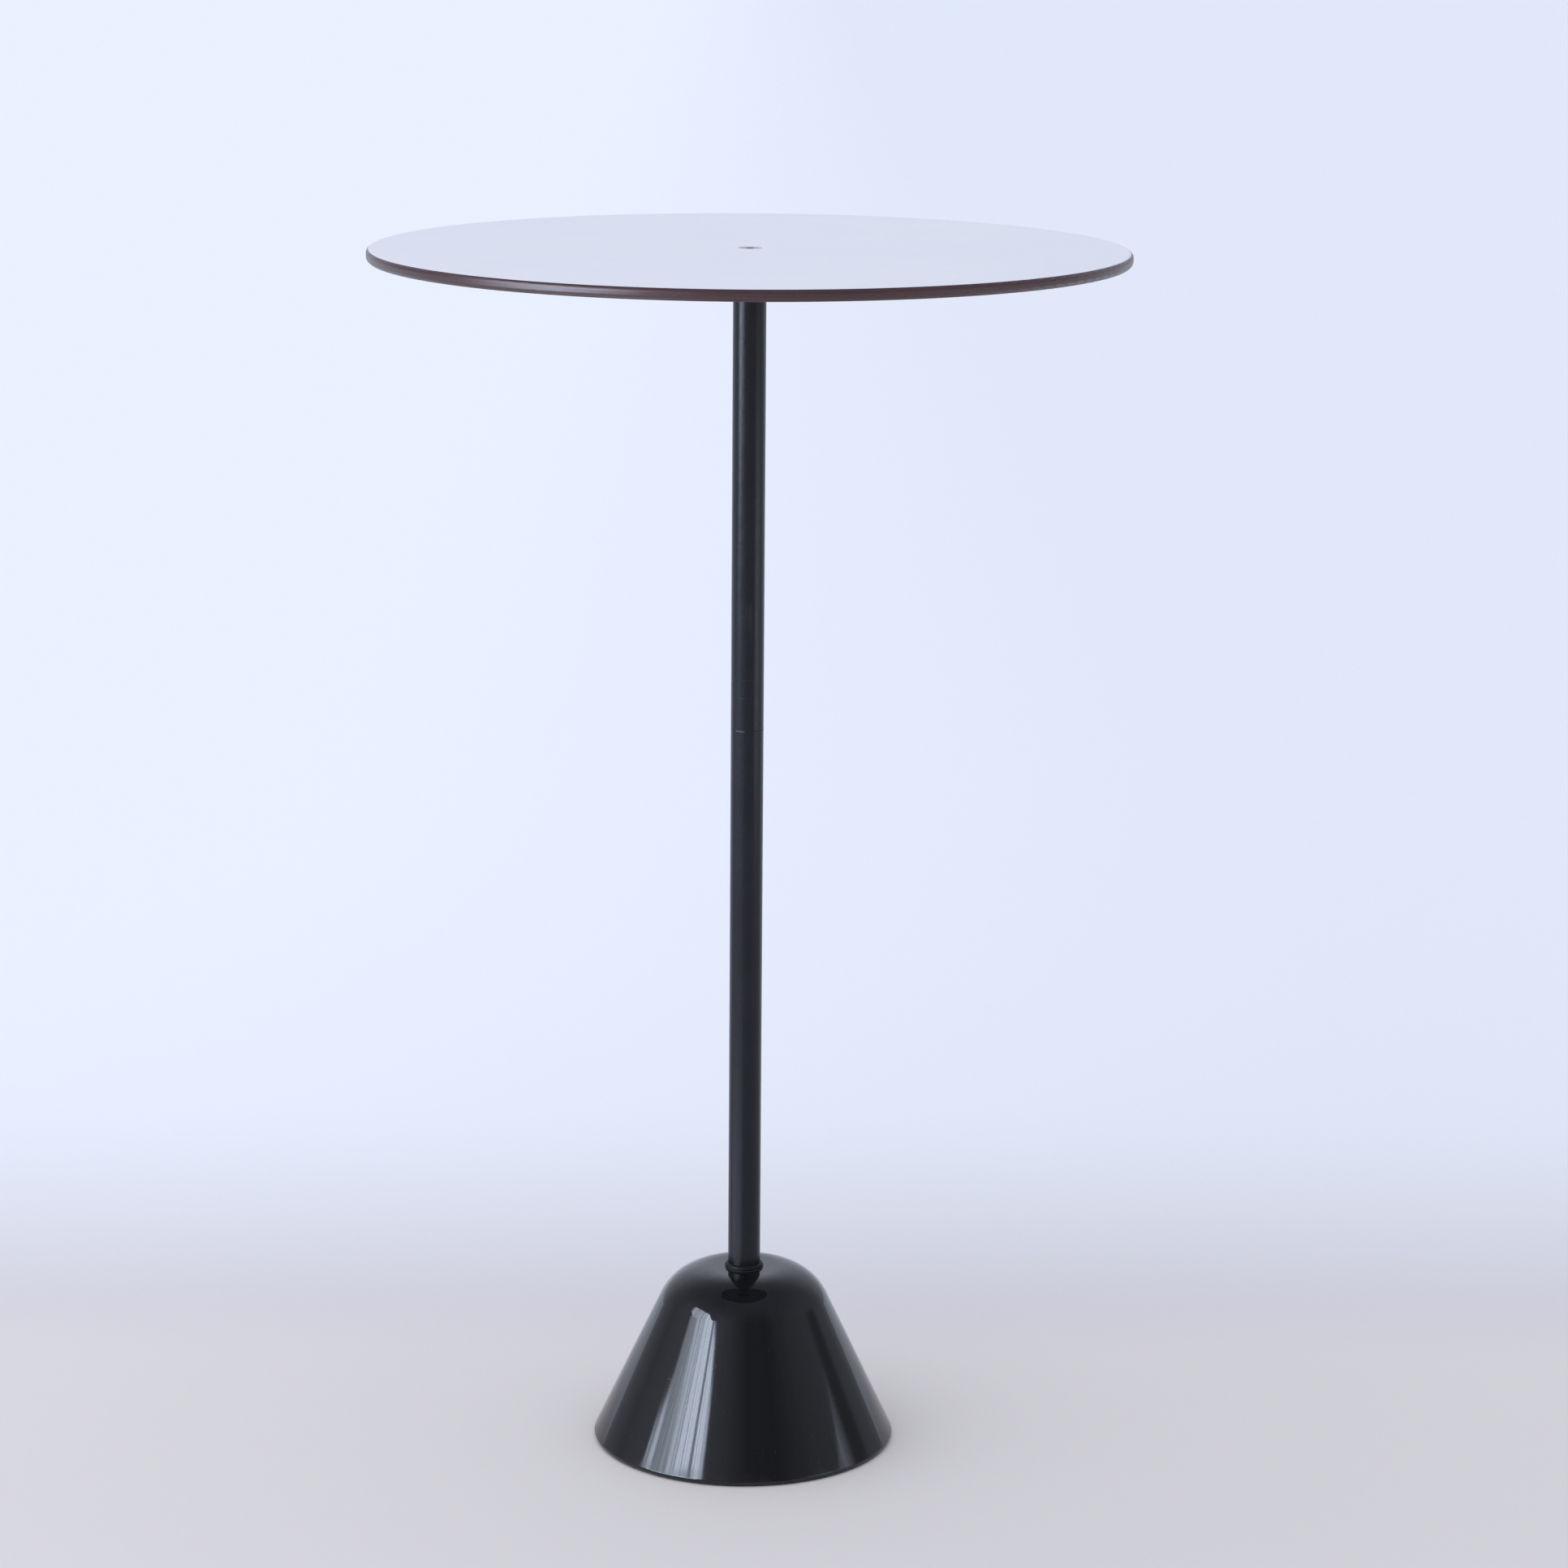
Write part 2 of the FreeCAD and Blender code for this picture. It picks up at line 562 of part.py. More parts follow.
def cover_screws():
    """Countersunk screws with a cross recess, heads down, as a group of separate solids."""
    body = new_body("cover_screws")
    body.AllowCompound = True
    shank = "sizes.cover_screw_diameter / 2"
    head = "sizes.cover_screw_head_diameter / 2"
    screw = turned(body, "shank_and_head", [
        (BOSS_PLACE, "0"),
        (f"{BOSS_PLACE} + {head}", "0"),
        (f"{BOSS_PLACE} + {shank}", f"{head} - {shank}"),
        (f"{BOSS_PLACE} + {shank}", "sizes.cover_screw_length"),
        (BOSS_PLACE, "sizes.cover_screw_length"),
    ], axis=BOSS_PLACE)
    recess_outline = new_sketch(body, "XY_Plane", "recess_outline")
    arm, half = "sizes.recess_length / 2", "sizes.recess_width / 2"
    quarter = [(arm, half), (half, half), (half, arm)]
    corners = []
    for across, along in quarter:
        corners.append((f"{BOSS_PLACE} + {across}", along))
    for across, along in reversed(quarter):
        corners.append((f"{BOSS_PLACE} - {across}", along))
    for across, along in quarter:
        corners.append((f"{BOSS_PLACE} - {across}", f"-{along}"))
    for across, along in reversed(quarter):
        corners.append((f"{BOSS_PLACE} + {across}", f"-{along}"))
    draw_outline(recess_outline, corners)
    recess = extruded(body, "recess", recess_outline, "sizes.recess_depth", "Pocket")
    repeated(body, "screws", [screw, recess])
    return placed(body, "sizes.foot_ring_thickness")


def foot_ring():
    body = new_body("foot_ring")
    outer = f"{COVER_RADIUS} - sizes.foot_ring_inset"
    inner = f"{outer} - sizes.foot_ring_width"
    turned(body, "ring", ring_outline(inner, outer, "sizes.foot_ring_thickness"))
    return body


SUB_PARTS = [
    tabletop_core(),
    tabletop_face(),
    tabletop_backing(),
    top_screw(),
    flange_pad(),
    support_flange(),
    pole_head_plug(),
    upper_pole(),
    upper_joint_plug(),
    joint_stud(),
    lower_joint_plug(),
    lower_pole(),
    pole_foot_plug(),
    pole_collar(),
    base_shell(),
    ballast(),
    base_bolt(),
    spring_washer(),
    bolt_washer(),
    bottom_cover(),
    cover_screws(),
    foot_ring(),
]

doc.recompute()
for item in doc.Objects:
    if "Invalid" in item.State or "Error" in item.State:
        raise RuntimeError(f"{item.Name} failed: {item.State}")
for part in SUB_PARTS:
    if part.Shape.isNull() or not part.Shape.isValid():
        raise RuntimeError(f"{part.Label} has no valid shape")

os.makedirs("parts", exist_ok=True)
for part in SUB_PARTS:
    part.Shape.exportStep(f"parts/{part.Label}.step")
    print(f"{part.Label}: {len(part.Shape.Solids)} solid(s), {part.Shape.Volume / 1000:.2f} cm3")
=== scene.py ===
import json
import math

import bpy
from mathutils import Matrix, Vector


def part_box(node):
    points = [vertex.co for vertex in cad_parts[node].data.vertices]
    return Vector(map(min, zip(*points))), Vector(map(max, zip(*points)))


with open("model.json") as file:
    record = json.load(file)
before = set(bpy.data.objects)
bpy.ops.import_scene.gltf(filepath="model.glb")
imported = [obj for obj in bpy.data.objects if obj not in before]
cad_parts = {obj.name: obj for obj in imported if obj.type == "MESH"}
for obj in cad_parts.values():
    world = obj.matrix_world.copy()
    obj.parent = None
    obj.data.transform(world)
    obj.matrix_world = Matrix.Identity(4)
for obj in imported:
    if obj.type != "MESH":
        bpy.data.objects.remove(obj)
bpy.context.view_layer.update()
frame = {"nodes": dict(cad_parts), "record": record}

# Looks of the tall round drinks table: its finishes, the floor, the light and the camera.
# Lengths are in metres and angles in degrees. The table stands on z = 0, and the camera looks along +Y.

NODES = frame["nodes"]

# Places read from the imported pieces
SEAM_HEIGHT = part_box("upper_pole")[0].z
COLLAR_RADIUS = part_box("pole_collar")[1].x

# Values that most of a noise lies between
NOISE_SPREAD = (0.3, 0.7)

# Wear: width of the dust round the collar, heights between which the foot is rubbed, distances from the seam
# between which its edge is worn, and places across the pole between which that edge gets a painted glint
DUST_RING_WIDTH = 0.0024
RUBBED_FOOT = (0.012, 0.002)
SEAM_WEAR = (0.0006, 0.0001)
SEAM_GLINT_BEGIN = (-0.0085, -0.007)
SEAM_GLINT_END = (-0.0010, -0.003)

# Camera, from the photograph's outlines of top, pole and foot
CAMERA_PLACE = Vector((0, -2.850, 1.1014))
CAMERA_PITCH_DOWN = 12.661
CAMERA_YAW = 0.501
CAMERA_ROLL = 0.45
CAMERA_LENS_MM = 99.91
CAMERA_SENSOR_MM = 36

# Floor: near tint under the table, then paler and bluer tints further back, with where each begins and ends,
# and the painted shade that its right-hand side gains
FLOOR_SIZE = 80
FLOOR_NEAR = (0.675, 0.657, 0.664, 1)
FLOOR_MIDDLE = (0.627, 0.614, 0.656, 1)
FLOOR_FAR = (0.757, 0.793, 0.872, 1)
FLOOR_NEAR_END = (0.14, 0.30)
FLOOR_MIDDLE_END = (0.12, 0.80)
FLOOR_PAINTED_SHADE_SIDE = (-0.6, 0.7)
FLOOR_PAINTED_SHADE = 0.08

# Soft light from above, slightly from the left and the front; it doesn't show in the gloss
SOFT_LIGHT_STRENGTH = 2.35
SOFT_LIGHT_SPREAD = 110
SOFT_LIGHT_LEAN = 14
SOFT_LIGHT_SIDE = 50

# Panels of light that only the gloss shows. Their angles are as seen from the lit side of the base.
PANELS_SEEN_FROM = Vector((-0.05, -0.06, 0.07))
PANEL_TINT = (0.73, 0.83, 1.0)
PANEL_BLUR = 0.013
PANEL_GATHER_RANGE = (0.42, 1.58)
# Where the tall panel of gathered cloth stands, how high and bright it is and how many gathers it has
CLOTH_PLACE = {"middle": 59, "half_width": 28, "top": 44, "brightness": 14, "gathers": 52}
# Each panel has folds: angle to the left of the camera's side, share of the full brightness,
# and angles up to the lower and the upper edge
PANELS = {
    "tall_cloth": {
        **CLOTH_PLACE,
        "distance": 2.4,
        "folds": [
            (31.2, 0.00, 24.2, 27.4),
            (32.8, 0.60, 24.2, 27.6),
            (37.5, 0.92, 24.2, 28.5),
            (40.8, 0.80, 24.2, 28.6),
            (42.6, 0.14, 24.0, 28.7),
            (44.5, 0.66, 23.6, 29.0),
            (47.0, 1.00, 23.0, 30.5),
            (50.0, 0.80, 22.4, 33.0),
            (53.0, 0.95, 21.6, 36.5),
            (56.0, 0.52, 20.8, 38.5),
            (60.0, 0.66, 19.6, 38.5),
            (63.0, 0.44, 18.8, 38.5),
            (65.0, 0.44, 24.0, 38.5),
            (68.0, 0.60, 24.0, 38.5),
            (74.0, 0.42, 24.2, 38.5),
            (78.0, 0.52, 25.0, 38.8),
            (82.0, 0.40, 27.0, 38.5),
            (85.5, 0.00, 28.5, 38.0),
        ],
    },
    "cloth_foot": {
        **CLOTH_PLACE,
        "distance": 2.5,
        "folds": [
            (61.0, 0.00, 18.8, 24.2),
            (66.0, 0.38, 17.4, 24.2),
            (71.0, 0.30, 16.2, 24.2),
            (77.0, 0.24, 14.6, 24.6),
            (80.0, 0.00, 14.0, 25.0),
        ],
    },
    "cloth_edge": {
        **CLOTH_PLACE,
        "distance": 2.6,
        "folds": [
            (75.0, 0.00, 15.0, 18.8),
            (78.0, 0.56, 14.4, 18.8),
            (79.5, 0.46, 14.0, 18.5),
            (81.0, 0.20, 13.4, 17.8),
            (82.5, 0.46, 13.0, 17.0),
            (84.5, 0.00, 12.5, 16.5),
        ],
    },
    "low_cloth": {
        **CLOTH_PLACE,
        "distance": 2.7,
        "folds": [
            (33.0, 0.00, 14.0, 20.0),
            (35.5, 1.00, 13.0, 20.0),
            (50.0, 1.00, 9.0, 19.0),
            (54.0, 0.90, 7.0, 18.0),
            (58.0, 0.60, 6.0, 17.0),
            (63.0, 1.00, 5.6, 11.5),
            (72.0, 1.00, 5.6, 10.8),
            (75.5, 0.60, 8.0, 10.8),
            (78.0, 0.35, 9.5, 11.5),
            (82.0, 0.35, 9.5, 11.2),
            (86.0, 0.00, 9.5, 11.0),
        ],
    },
    "low_side_panel": {
        "middle": -72,
        "half_width": 28,
        "top": 20,
        "brightness": 1.5,
        "gathers": 4,
        "distance": 1.6,
        "folds": [
            (-96, 0, 2, 14),
            (-86, 1, 2, 14),
            (-58, 1, 2, 14),
            (-48, 0, 2, 14),
        ],
    },
}

# Lit floor to the left, which only the gloss shows: middle and size of its rectangle, angles to the left
# of the camera's side between which it begins and ends, and brightness at distances from the pole
FLOOR_GLOW_MIDDLE = Vector((-1.7, -0.85, 0.002))
FLOOR_GLOW_SIZE = (3.2, 2.7)
FLOOR_GLOW_BEGIN = (10, 36)
FLOOR_GLOW_END = (106, 82)
FLOOR_GLOW_REACH = 3.3
FLOOR_GLOW = [
    (0.25, 0.00),
    (0.35, 1.00),
    (0.70, 1.00),
    (0.95, 0.20),
    (1.60, 0.20),
    (2.10, 0.60),
    (3.00, 0.60),
    (3.30, 0.00),
]
FLOOR_GLOW_BRIGHTNESS = 1.3

# Studio round the table: angle to the right of the camera's side, and brightness there
STUDIO = [
    (-180, 0.82),
    (-166, 0.86),
    (-148, 0.66),
    (-128, 0.42),
    (-108, 0.37),
    (-90, 0.60),
    (-32, 0.66),
    (-18, 0.44),
    (5, 0.15),
    (30, 0.15),
    (62, 0.38),
    (86, 0.44),
    (125, 0.36),
    (148, 0.58),
    (166, 0.74),
    (180, 0.82),
]
STUDIO_TINT = (0.95, 1.0, 1.18, 1)
STUDIO_ABOVE = (0.26, 0.28, 0.35, 1)
STUDIO_ABOVE_RISE = (28, 66)
# Dark gap in it: angles to the right between which it begins and ends, angle up where it ends, and darkness
DARK_GAP_BEGIN = (90, 99)
DARK_GAP_END = (114, 105)
DARK_GAP_TOP = (20, 13)
DARK_GAP_DARKNESS = 0.5
BLACK = (0, 0, 0, 1)


class Tree:
    """Node tree, with short calls that add nodes and join them."""

    def __init__(self, tree):
        self.tree = tree

    def add(self, kind, inputs=None, **settings):
        node = self.tree.nodes.new(kind)
        for name, value in settings.items():
            setattr(node, name, value)
        for name, value in (inputs or {}).items():
            self.feed(node.inputs[name], value)
        return node

    def feed(self, socket, value):
        if isinstance(value, bpy.types.NodeSocket):
            self.tree.links.new(value, socket)
        else:
            socket.default_value = value

    def split(self, vector):
        return self.add("ShaderNodeSeparateXYZ", {0: vector}).outputs

    def between(self, value, low, high, start=0, end=1):
        """Value spread smoothly from the range low to high onto the range start to end."""
        return self.add("ShaderNodeMapRange", {
            "Value": value,
            "From Min": low,
            "From Max": high,
            "To Min": start,
            "To Max": end,
        }, interpolation_type="SMOOTHSTEP").outputs[0]

    def calculate(self, operation, *values):
        return self.add("ShaderNodeMath", dict(enumerate(values)), operation=operation).outputs[0]

    def times(self, *values):
        result = values[0]
        for value in values[1:]:
            result = self.calculate("MULTIPLY", result, value)
        return result

    def plus(self, *values):
        result = values[0]
        for value in values[1:]:
            result = self.calculate("ADD", result, value)
        return result

    def mixed(self, share, first, second):
        """Colour between two others."""
        node = self.add("ShaderNodeMix", data_type="RGBA")
        self.feed(node.inputs["Factor"], share)
        for name, colour in (("A", first), ("B", second)):
            socket = next(item for item in node.inputs if item.name == name and item.type == "RGBA")
            self.feed(socket, colour)
        return next(item for item in node.outputs if item.type == "RGBA")

    def tinted(self, colour, mask, tint, share):
        """Colour that takes on a share of a tint where the mask is 1."""
        return self.mixed(self.times(mask, share), colour, tint)

    def from_axis(self, x, y):
        """Distance of a place from the pole's axis."""
        return self.calculate("SQRT", self.plus(self.times(x, x), self.times(y, y)))

    def profile(self, value, stops, interpolation="LINEAR"):
        """Height at a place on the line through stops, which are pairs of place and height from 0 to 1."""
        ramp = self.add("ShaderNodeValToRGB", {0: value})
        ramp.color_ramp.interpolation = interpolation
        elements = ramp.color_ramp.elements
        for index, (place, height) in enumerate(stops):
            element = elements[index] if index < 2 else elements.new(place)
            element.position = place
            element.color = (height, height, height, 1)
        return ramp.outputs[0]


class Recipe(Tree):
    """Node tree of one material, with the patterns that finishes are made of."""

    def __init__(self, name):
        self.material = bpy.data.materials.new(name)
        self.material.use_nodes = True
        super().__init__(self.material.node_tree)
        self.shader = self.tree.nodes["Principled BSDF"]
        self.place = self.add("ShaderNodeTexCoord").outputs["Object"]

    def stretched(self, per_metre, turn=0, place=None):
        """Coordinates counted in pattern units, as many to the metre as each axis says."""
        return self.add("ShaderNodeMapping", {
            "Vector": place or self.place,
            "Rotation": (0, 0, math.radians(turn)),
            "Scale": per_metre,
        }).outputs[0]

    def noise(self, per_metre, detail=3, roughness=0.55, turn=0, place=None):
        """Soft random pattern from 0 to 1; per_metre is one number or one for each axis."""
        scale = per_metre if isinstance(per_metre, tuple) else (per_metre,) * 3
        return self.add("ShaderNodeTexNoise", {
            "Vector": self.stretched(scale, turn, place),
            "Scale": 1,
            "Detail": detail,
            "Roughness": roughness,
        }).outputs["Fac"]

    def specks(self, per_metre, size):
        """Mask of small round spots in about a third of the cells of a random grid."""
        cells = self.add("ShaderNodeTexVoronoi", {"Vector": self.place, "Scale": per_metre})
        spot = self.between(cells.outputs["Distance"], size * per_metre, 0)
        chosen = self.between(self.split(cells.outputs["Color"])[0], low=0.66, high=0.70)
        return self.times(spot, chosen)

    def roughened(self, roughness, mask, gain):
        """Roughness that gains an amount where the mask is 1."""
        return self.plus(roughness, self.times(mask, gain))

    def bumped(self, height, depth, under=None):
        """Normal that follows a height from 0 to 1 over a depth in metres."""
        inputs = {"Height": height, "Distance": depth, "Strength": 1}
        if under is not None:
            inputs["Normal"] = under
        return self.add("ShaderNodeBump", inputs).outputs[0]

    def spoke_place(self):
        """Coordinates that keep the direction from the axis, so that patterns follow the sides of a bell."""
        x, y, z = self.split(self.place)
        radius = self.from_axis(x, y)
        outward_x = self.calculate("DIVIDE", x, radius)
        outward_y = self.calculate("DIVIDE", y, radius)
        return self.add("ShaderNodeCombineXYZ", {0: outward_x, 1: outward_y, 2: z}).outputs[0]

    def radius_and_height(self):
        x, y, z = self.split(self.place)
        return self.from_axis(x, y), z

    def hairlines(self, across, along, share, turn=0, place=None):
        """Mask of thin broken lines, from the crests of a noise drawn out along them."""
        lines = self.noise((along, across, along), detail=2, roughness=0.5, turn=turn, place=place)
        patches = self.noise(along * 4, detail=1, roughness=0.5, place=place)
        breaks = self.between(patches, low=0.5, high=0.62)
        return self.times(self.between(lines, low=1 - share, high=1 - share * 0.6), breaks)

    def done(self, colour, roughness, normal, **fixed):
        self.feed(self.shader.inputs["Base Color"], colour)
        self.feed(self.shader.inputs["Roughness"], roughness)
        self.feed(self.shader.inputs["Normal"], normal)
        for name, value in fixed.items():
            self.shader.inputs[name.replace("_", " ")].default_value = value
        return self.material


# Finishes

def white_decor():
    """Satin white laminate: faint mottling, a fine pebbled grain and wiping marks."""
    white = (0.640, 0.660, 0.735, 1)
    paler_white = (0.655, 0.675, 0.745, 1)
    fleck_grey = (0.52, 0.53, 0.56, 1)
    mark_grey = (0.50, 0.51, 0.54, 1)
    recipe = Recipe("white_decor")
    mottling = recipe.between(recipe.noise(9, detail=4), low=0.35, high=0.7)
    flecks = recipe.between(recipe.noise(700, detail=2), low=0.62, high=0.75)
    wiped = recipe.hairlines(across=900, along=14, share=0.34, turn=24)
    crossed = recipe.hairlines(across=1100, along=18, share=0.32, turn=-58)
    marks = recipe.calculate("MAXIMUM", wiped, crossed)
    colour = recipe.mixed(mottling, white, paler_white)
    colour = recipe.tinted(colour, flecks, fleck_grey, share=0.08)
    colour = recipe.tinted(colour, marks, mark_grey, share=0.06)
    patches = recipe.between(recipe.noise(22, detail=4), *NOISE_SPREAD, start=0.38, end=0.42)
    roughness = recipe.roughened(patches, marks, gain=0.12)
    grain = recipe.bumped(recipe.noise(1600, detail=3), depth=0.00003)
    normal = recipe.bumped(recipe.calculate("SUBTRACT", 1, marks), depth=0.00001, under=grain)
    return recipe.done(colour, roughness, normal)


def phenolic_core():
    """Brown pressed-paper core: thin layers that show on the rim, and a hand-polished sheen."""
    dark_brown = (0.044, 0.015, 0.020, 1)
    brown = (0.067, 0.025, 0.029, 1)
    light_brown = (0.077, 0.031, 0.035, 1)
    cloud_brown = (0.049, 0.019, 0.026, 1)
    recipe = Recipe("phenolic_core")
    layers = recipe.noise((14, 14, 3600), detail=3, roughness=0.6)
    broad_layers = recipe.noise((5, 5, 900), detail=2)
    cloudy = recipe.between(recipe.noise(45, detail=4), *NOISE_SPREAD)
    thin = recipe.between(layers, low=0.35, high=0.65)
    broad = recipe.between(broad_layers, low=0.4, high=0.7)
    colour = recipe.mixed(thin, dark_brown, brown)
    colour = recipe.tinted(colour, broad, light_brown, share=0.5)
    colour = recipe.tinted(colour, cloudy, cloud_brown, share=0.35)
    sheen = recipe.between(layers, *NOISE_SPREAD, start=0.27, end=0.31)
    roughness = recipe.roughened(sheen, cloudy, gain=0.04)
    grain = recipe.bumped(recipe.noise(1200, detail=3), depth=0.00001)
    normal = recipe.bumped(layers, depth=0.000005, under=grain)
    return recipe.done(colour, roughness, normal, Specular_IOR_Level=0.66)


def grey_backing():
    """Dark grey sheet under the board: pressed fibres, sanding lines and cloudy patches."""
    dark_grey = (0.052, 0.053, 0.058, 1)
    paler_grey = (0.068, 0.069, 0.075, 1)
    fibre_grey = (0.036, 0.036, 0.039, 1)
    line_grey = (0.110, 0.110, 0.115, 1)
    recipe = Recipe("grey_backing")
    cloudy = recipe.between(recipe.noise(11, detail=4), low=0.35, high=0.7)
    fibres = recipe.noise((420, 90, 420), detail=3, roughness=0.6, turn=12)
    pressed = recipe.between(fibres, low=0.5, high=0.7)
    sanded = recipe.hairlines(across=1300, along=16, share=0.36, turn=4)
    colour = recipe.mixed(cloudy, dark_grey, paler_grey)
    colour = recipe.tinted(colour, pressed, fibre_grey, share=0.3)
    colour = recipe.tinted(colour, sanded, line_grey, share=0.25)
    felted = recipe.between(fibres, *NOISE_SPREAD, start=0.50, end=0.60)
    roughness = recipe.roughened(felted, sanded, gain=0.08)
    fibre_relief = recipe.bumped(fibres, depth=0.00003)
    normal = recipe.bumped(sanded, depth=0.00002, under=fibre_relief)
    return recipe.done(colour, roughness, normal)


def black_paint():
    """Satin black stove paint: orange peel, drawn-out scuffs, dust, a worn seam edge with a painted glint."""
    black = (0.0040, 0.0048, 0.0115, 1)
    paler_black = (0.0068, 0.0078, 0.0155, 1)
    scuff_grey = (0.060, 0.062, 0.066, 1)
    dust_grey = (0.18, 0.18, 0.18, 1)
    seam_grey = (0.045, 0.045, 0.048, 1)
    glint_grey = (0.200, 0.200, 0.205, 1)
    recipe = Recipe("black_paint")
    aside, _, height = recipe.split(recipe.place)
    from_seam = recipe.calculate("ABSOLUTE", recipe.calculate("SUBTRACT", height, SEAM_HEIGHT))
    seam = recipe.between(from_seam, *SEAM_WEAR)
    # Painted glint: the seam's edge is painted bright on its left side, where the highlight falls
    glint_side = [recipe.between(aside, *ends) for ends in (SEAM_GLINT_BEGIN, SEAM_GLINT_END)]
    painted_seam_glint = recipe.times(seam, *glint_side)
    drawn_out = recipe.stretched((1, 1, 0.25))
    scuffs = recipe.hairlines(across=700, along=22, share=0.33, place=drawn_out)
    rings = recipe.noise((16, 16, 1500), detail=2)
    rubbed = recipe.between(recipe.noise(30, detail=2), low=0.52, high=0.66)
    ring_marks = recipe.times(recipe.between(rings, low=0.68, high=0.76), rubbed)
    marks = recipe.calculate("MAXIMUM", scuffs, ring_marks)
    dust = recipe.specks(260, size=0.00035)
    shade = recipe.between(recipe.noise(38, detail=4), *NOISE_SPREAD)
    colour = recipe.mixed(shade, black, paler_black)
    colour = recipe.tinted(colour, marks, scuff_grey, share=0.35)
    colour = recipe.tinted(colour, dust, dust_grey, share=0.4)
    colour = recipe.tinted(colour, seam, seam_grey, share=0.4)
    # Painted glint on the seam's left side
    colour = recipe.tinted(colour, painted_seam_glint, glint_grey, share=0.8)
    sheen = recipe.between(recipe.noise(120, detail=4), *NOISE_SPREAD, start=0.21, end=0.27)
    roughness = recipe.roughened(sheen, marks, gain=0.15)
    peel = recipe.bumped(recipe.noise(520, detail=2), depth=0.00003)
    normal = recipe.bumped(recipe.noise(2600, detail=2), depth=0.000006, under=peel)
    return recipe.done(colour, roughness, normal, Specular_IOR_Level=0.32)


def black_gloss_plastic():
    """Polished black moulding: hairline scratches, dust, a dusty ring round the pole and a rubbed foot."""
    black = (0.0055, 0.0057, 0.0066, 1)
    paler_black = (0.0070, 0.0073, 0.0084, 1)
    scratch_grey = (0.050, 0.050, 0.052, 1)
    dust_grey = (0.16, 0.16, 0.16, 1)
    settled_grey = (0.060, 0.060, 0.062, 1)
    foot_grey = (0.040, 0.040, 0.040, 1)
    recipe = Recipe("black_gloss_plastic")
    spokes = recipe.spoke_place()
    radius, height = recipe.radius_and_height()
    flow = recipe.between(recipe.noise((26, 26, 5), detail=3, place=spokes), *NOISE_SPREAD)
    rings = recipe.noise((14, 14, 1300), detail=2)
    wiped = recipe.between(recipe.noise(26, detail=2), low=0.52, high=0.66)
    ring_lines = recipe.times(recipe.between(rings, low=0.69, high=0.77), wiped)
    spoke_lines = recipe.hairlines(across=60, along=60, share=0.3, place=spokes)
    marks = recipe.calculate("MAXIMUM", ring_lines, spoke_lines)
    dust = recipe.specks(170, size=0.0005)
    settled = recipe.between(radius, COLLAR_RADIUS + DUST_RING_WIDTH, COLLAR_RADIUS)
    knocks = recipe.between(recipe.noise(90, detail=4), low=0.35, high=0.7)
    foot = recipe.times(recipe.between(height, *RUBBED_FOOT), knocks)
    colour = recipe.mixed(flow, black, paler_black)
    colour = recipe.tinted(colour, marks, scratch_grey, share=0.25)
    colour = recipe.tinted(colour, dust, dust_grey, share=0.35)
    colour = recipe.tinted(colour, settled, settled_grey, share=0.7)
    colour = recipe.tinted(colour, foot, foot_grey, share=0.2)
    roughness = recipe.between(flow, low=0, high=1, start=0.045, end=0.07)
    roughness = recipe.roughened(roughness, marks, gain=0.10)
    roughness = recipe.roughened(roughness, dust, gain=0.35)
    roughness = recipe.roughened(roughness, settled, gain=0.3)
    roughness = recipe.roughened(roughness, foot, gain=0.1)
    peel = recipe.bumped(recipe.noise(650, detail=2), depth=0.000004)
    normal = recipe.bumped(recipe.calculate("SUBTRACT", 1, marks), depth=0.000005, under=peel)
    return recipe.done(colour, roughness, normal)


def black_rubber():
    """Smooth black rubber with a dusty bloom and a fine grain."""
    black = (0.008, 0.008, 0.009, 1)
    bloom_black = (0.012, 0.012, 0.013, 1)
    recipe = Recipe("black_rubber")
    bloom = recipe.between(recipe.noise(160, detail=4), low=0.4, high=0.72)
    colour = recipe.mixed(bloom, black, bloom_black)
    roughness = recipe.between(recipe.noise(420, detail=3), *NOISE_SPREAD, start=0.44, end=0.54)
    normal = recipe.bumped(recipe.noise(1900, detail=3), depth=0.00002)
    return recipe.done(colour, roughness, normal, Specular_IOR_Level=0.24)


def steel(name, dark, light, roughness_range, turned):
    """Bare or plated steel with turning marks round its axis or drawn marks along it."""
    recipe = Recipe(name)
    radius, height = recipe.radius_and_height()
    along = recipe.add("ShaderNodeCombineXYZ", {2: radius if turned else height}).outputs[0]
    rings = recipe.noise((0, 0, 3000), detail=3, place=along)
    dark_rings = recipe.between(rings, low=0.4, high=0.65)
    stain = recipe.between(recipe.noise(190, detail=4), low=0.38, high=0.7)
    colour = recipe.tinted(light, stain, dark, share=0.7)
    colour = recipe.tinted(colour, dark_rings, dark, share=0.3)
    sheen = recipe.between(rings, *NOISE_SPREAD, *roughness_range)
    roughness = recipe.roughened(sheen, stain, gain=0.1)
    grain = recipe.bumped(recipe.noise(900, detail=3), depth=0.00001)
    normal = recipe.bumped(rings, depth=0.00001, under=grain)
    return recipe.done(colour, roughness, normal, Metallic=1)


def zinc_steel():
    dark = (0.30, 0.29, 0.28, 1)
    light = (0.54, 0.54, 0.55, 1)
    return steel("zinc_steel", dark, light, roughness_range=(0.28, 0.42), turned=True)


def plain_steel():
    dark = (0.20, 0.19, 0.18, 1)
    light = (0.46, 0.46, 0.47, 1)
    return steel("plain_steel", dark, light, roughness_range=(0.32, 0.48), turned=False)


